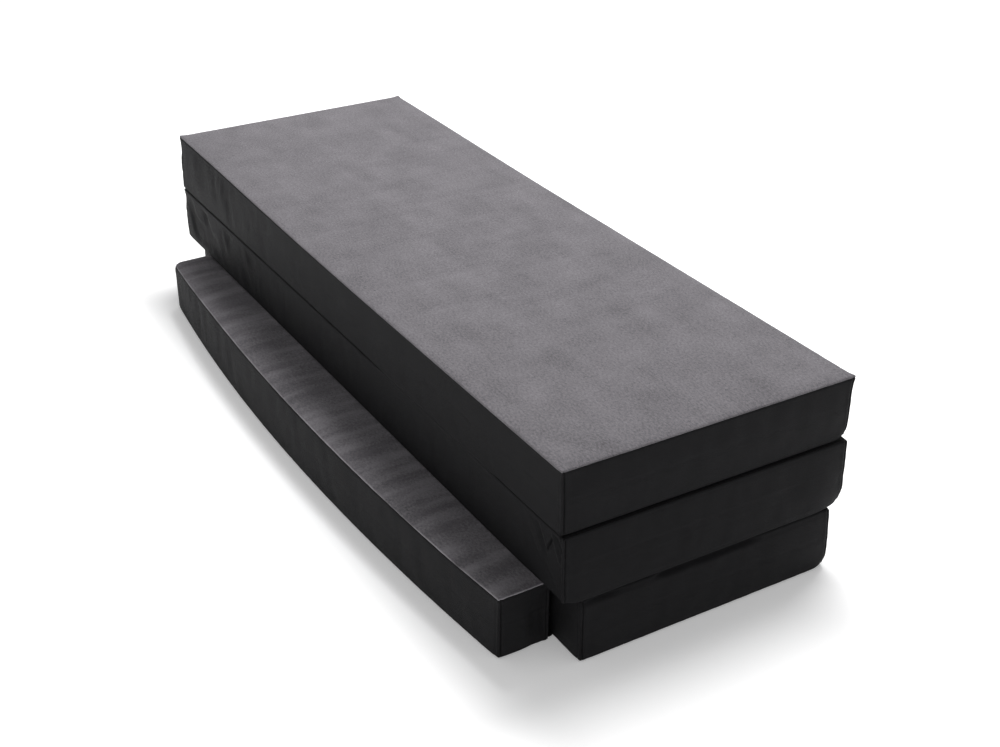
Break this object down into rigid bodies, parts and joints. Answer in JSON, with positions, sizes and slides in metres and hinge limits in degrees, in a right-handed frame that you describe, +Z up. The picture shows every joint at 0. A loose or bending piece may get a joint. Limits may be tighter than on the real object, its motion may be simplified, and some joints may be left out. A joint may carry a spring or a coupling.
{
  "type": "folding futon mattress",
  "caption": "Folding futon mattress of foam sections in zipped cloth covers, stacked zigzag, with a narrow bow-fronted flap on the floor in front.",
  "frame": {"origin": "on the floor, under the middle of the folded mattress", "axes": "+X along the sections' length to the right seen from the front, -Y to the front where the flap lies, +Z up"},
  "size_m": [1.8244, 0.7574, 0.396],
  "materials": {
    "grey_microfibre": "brushed velour microfibre, mottled",
    "black_cloth": "plain woven, matt",
    "foam": "open-cell polyurethane foam, matt",
    "zip_tape": "herringbone woven tape",
    "zip_coil": "nylon coil",
    "zip_metal": "black lacquer, slightly worn"
  },
  "bodies": {
    "bottom_section": {"bottom_foam_core": "foam", "bottom_grey_panel": "grey_microfibre", "bottom_black_panel": "black_cloth", "bottom_front_band": "black_cloth", "bottom_back_band": "black_cloth", "bottom_right_end_band": "black_cloth", "bottom_left_end_band_lower": "black_cloth", "bottom_left_end_band_upper": "black_cloth", "bottom_zip_tapes": "zip_tape", "bottom_zip_coils": "zip_coil", "middle_hinge_strip": "grey_microfibre", "flap_hinge_strip": "black_cloth"},
    "middle_section": {"middle_foam_core": "foam", "middle_grey_panel": "grey_microfibre", "middle_black_panel": "black_cloth", "middle_front_band": "black_cloth", "middle_back_band": "black_cloth", "middle_right_end_band": "black_cloth", "middle_left_end_band_lower": "black_cloth", "middle_left_end_band_upper": "black_cloth", "middle_zip_tapes": "zip_tape", "middle_zip_coils": "zip_coil", "top_hinge_strip": "black_cloth"},
    "top_section": {"top_foam_core": "foam", "top_grey_panel": "grey_microfibre", "top_black_panel": "black_cloth", "top_front_band": "black_cloth", "top_back_band": "black_cloth", "top_right_end_band": "black_cloth", "top_left_end_band_lower": "black_cloth", "top_left_end_band_upper": "black_cloth", "top_zip_tapes": "zip_tape", "top_zip_coils": "zip_coil"},
    "front_flap": {"flap_foam_core": "foam", "flap_grey_panel": "grey_microfibre", "flap_black_panel": "black_cloth", "flap_front_band": "black_cloth", "flap_back_band_lower": "black_cloth", "flap_back_band_upper": "black_cloth", "flap_left_end_band": "black_cloth", "flap_right_end_band": "black_cloth", "flap_zip_tapes": "zip_tape", "flap_zip_coils": "zip_coil"},
    "bottom_zip_pull": {"bottom_zip_pull": "zip_metal"},
    "bottom_zip_slider": {"bottom_zip_slider": "zip_metal"},
    "flap_zip_pull": {"flap_zip_pull": "zip_metal"},
    "flap_zip_slider": {"flap_zip_slider": "zip_metal"},
    "middle_zip_pull": {"middle_zip_pull": "zip_metal"},
    "middle_zip_slider": {"middle_zip_slider": "zip_metal"},
    "top_zip_pull": {"top_zip_pull": "zip_metal"},
    "top_zip_slider": {"top_zip_slider": "zip_metal"}
  },
  "joints": [
    {"name": "middle_fold", "type": "hinge", "parent": "bottom_section", "child": "middle_section", "pos_m": [-0.0058, 0.3631, 0.1315], "axis": [-1, 0, 0], "range_deg": [0, 179], "deforming": ["middle_hinge_strip"]},
    {"name": "top_fold", "type": "hinge", "parent": "middle_section", "child": "top_section", "pos_m": [-0.0058, -0.24685, 0.2645], "axis": [1, 0, 0], "range_deg": [0, 179], "deforming": ["top_hinge_strip"]},
    {"name": "flap_fold", "type": "hinge", "parent": "bottom_section", "child": "front_flap", "pos_m": [-0.0058, -0.21975, 0], "axis": [1, 0, 0], "range_deg": [0, 179], "deforming": ["flap_hinge_strip"]},
    {"name": "bottom_zip_slide", "type": "slide", "parent": "bottom_section", "child": "bottom_zip_slider", "axis": [0, 1, 0], "range_m": [0, 0.5], "deforming": ["bottom_zip_coils"]},
    {"name": "bottom_zip_pull_swing", "type": "hinge", "parent": "bottom_zip_slider", "child": "bottom_zip_pull", "pos_m": [-0.8926, -0.18375, 0.065], "axis": [0, 0, 1], "range_deg": [0, 170]},
    {"name": "middle_zip_slide", "type": "slide", "parent": "middle_section", "child": "middle_zip_slider", "axis": [0, 1, 0], "range_m": [0, 0.565], "deforming": ["middle_zip_coils"]},
    {"name": "middle_zip_pull_swing", "type": "hinge", "parent": "middle_zip_slider", "child": "middle_zip_pull", "pos_m": [-0.9056, -0.21625, 0.198], "axis": [0, 0, 1], "range_deg": [0, 170]},
    {"name": "top_zip_slide", "type": "slide", "parent": "top_section", "child": "top_zip_slider", "axis": [0, 1, 0], "range_m": [0, 0.565], "deforming": ["top_zip_coils"]},
    {"name": "top_zip_pull_swing", "type": "hinge", "parent": "top_zip_slider", "child": "top_zip_pull", "pos_m": [-0.9106, -0.21625, 0.331], "axis": [0, 0, 1], "range_deg": [0, 170]},
    {"name": "flap_zip_slide", "type": "slide", "parent": "front_flap", "child": "flap_zip_slider", "axis": [1, 0, 0], "range_m": [0, 1.552], "deforming": ["flap_zip_coils"]},
    {"name": "flap_zip_pull_swing", "type": "hinge", "parent": "flap_zip_slider", "child": "flap_zip_pull", "pos_m": [-0.7488, -0.22095, 0.065], "axis": [0, 0, 1], "range_deg": [0, 12]}
  ]
}
